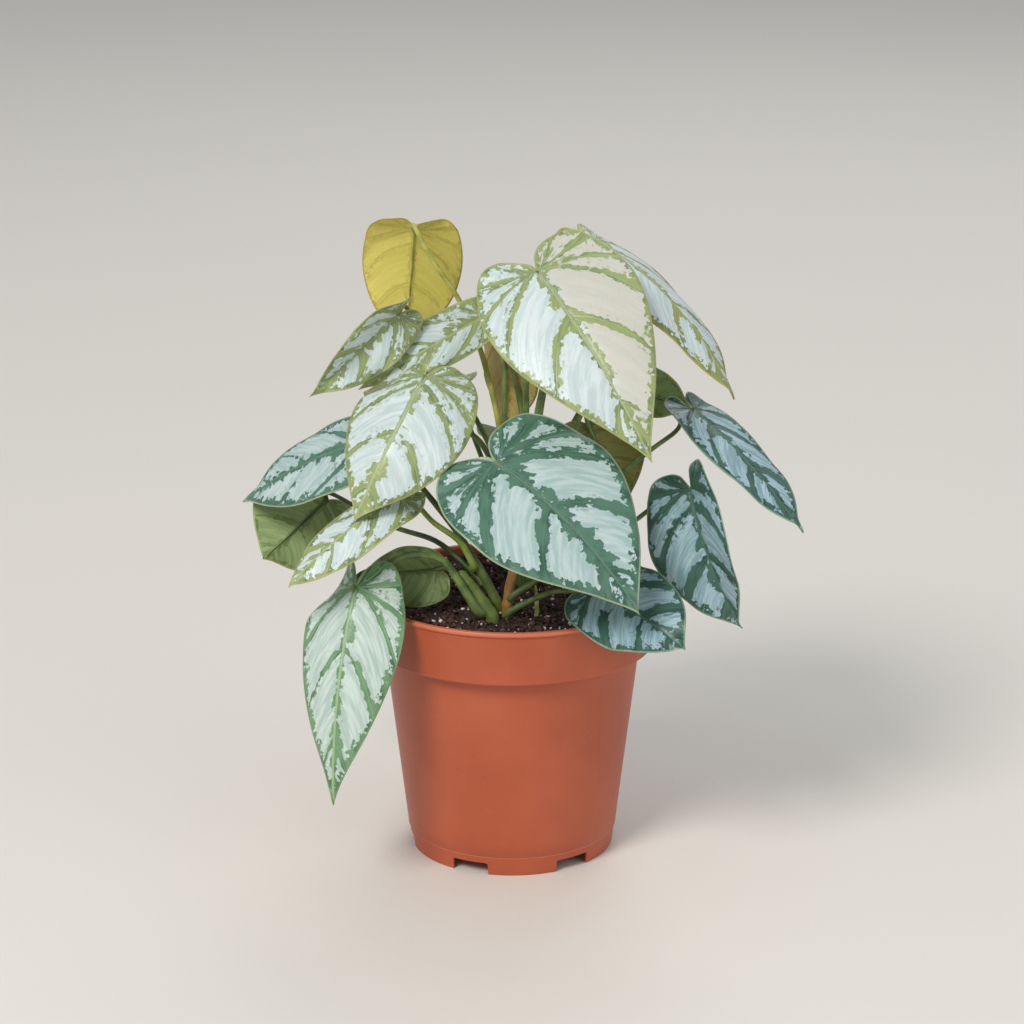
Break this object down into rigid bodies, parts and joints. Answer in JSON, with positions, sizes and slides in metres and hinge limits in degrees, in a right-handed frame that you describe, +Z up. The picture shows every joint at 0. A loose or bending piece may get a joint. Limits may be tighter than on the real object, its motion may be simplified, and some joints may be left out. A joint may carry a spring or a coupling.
{
  "type": "potted philodendron",
  "caption": "Silver-variegated philodendron with heart-shaped leaves on arching stalks, growing in soil in a round tapered plastic nursery pot.",
  "frame": {"origin": "on the pot's axis, in the plane that the pot stands on", "axes": "+Z up along the pot's axis, -Y towards the front of the plant, +X to the right as seen from the front"},
  "size_m": [0.2043, 0.1532, 0.2358],
  "materials": {
    "pot_plastic": "thin terracotta-coloured moulded plastic, satin, slightly lighter at the lip",
    "potting_mix": "loose dark brown peat and bark mix with white perlite grains, matt",
    "leaf_silver": "silver-white leaf with yellow-green streaks along its side veins, soft sheen",
    "leaf_blue_green": "blue-green leaf with jagged silver-blue patches between its veins, soft sheen",
    "leaf_green": "plain green leaf or leaf underside, soft sheen",
    "leaf_olive": "olive-brown leaf underside, soft sheen",
    "leaf_yellow": "mustard-yellow leaf tissue, soft sheen",
    "leaf_stalk": "smooth green leaf stalk, slight gloss",
    "stem_green": "smooth green stem, slight gloss",
    "stem_brown": "orange-brown young stem, slight gloss"
  },
  "bodies": {
    "root": {"leaf_back_left": "leaf_silver", "leaf_back_low": "leaf_blue_green", "leaf_back_right": "leaf_silver", "leaf_centre_left": "leaf_silver", "leaf_dark_right": "leaf_green", "leaf_far_left": "leaf_blue_green", "leaf_far_right": "leaf_blue_green", "leaf_front_centre": "leaf_blue_green", "leaf_hanging_left": "leaf_silver", "leaf_hanging_right": "leaf_blue_green", "leaf_left_underside": "leaf_green", "leaf_lower_left": "leaf_silver", "leaf_olive_centre": "leaf_olive", "leaf_olive_right": "leaf_olive", "leaf_rim_left": "leaf_green", "leaf_rim_right": "leaf_blue_green", "leaf_top_centre": "leaf_silver", "leaf_top_right": "leaf_silver", "leaf_upper_left": "leaf_silver", "leaf_upper_left_rear": "leaf_silver", "leaf_yellow": "leaf_yellow", "pot": "pot_plastic", "potting_soil": "potting_mix", "stalk_back_left": "leaf_stalk", "stalk_back_low": "leaf_stalk", "stalk_back_right": "leaf_stalk", "stalk_centre_left": "leaf_stalk", "stalk_dark_right": "leaf_stalk", "stalk_far_left": "leaf_stalk", "stalk_far_right": "leaf_stalk", "stalk_front_centre": "leaf_stalk", "stalk_hanging_left": "leaf_stalk", "stalk_hanging_right": "leaf_stalk", "stalk_left_underside": "leaf_stalk", "stalk_lower_left": "leaf_stalk", "stalk_olive_centre": "leaf_stalk", "stalk_olive_right": "leaf_stalk", "stalk_rim_left": "leaf_stalk", "stalk_rim_right": "leaf_stalk", "stalk_top_centre": "leaf_stalk", "stalk_top_right": "leaf_stalk", "stalk_upper_left": "leaf_stalk", "stalk_upper_left_rear": "leaf_stalk", "stalk_yellow": "leaf_stalk", "stem_left": "stem_green", "stem_middle": "stem_green", "stem_rear": "stem_green", "stem_right": "stem_brown", "young_shoot": "leaf_yellow"}
  },
  "joints": []
}
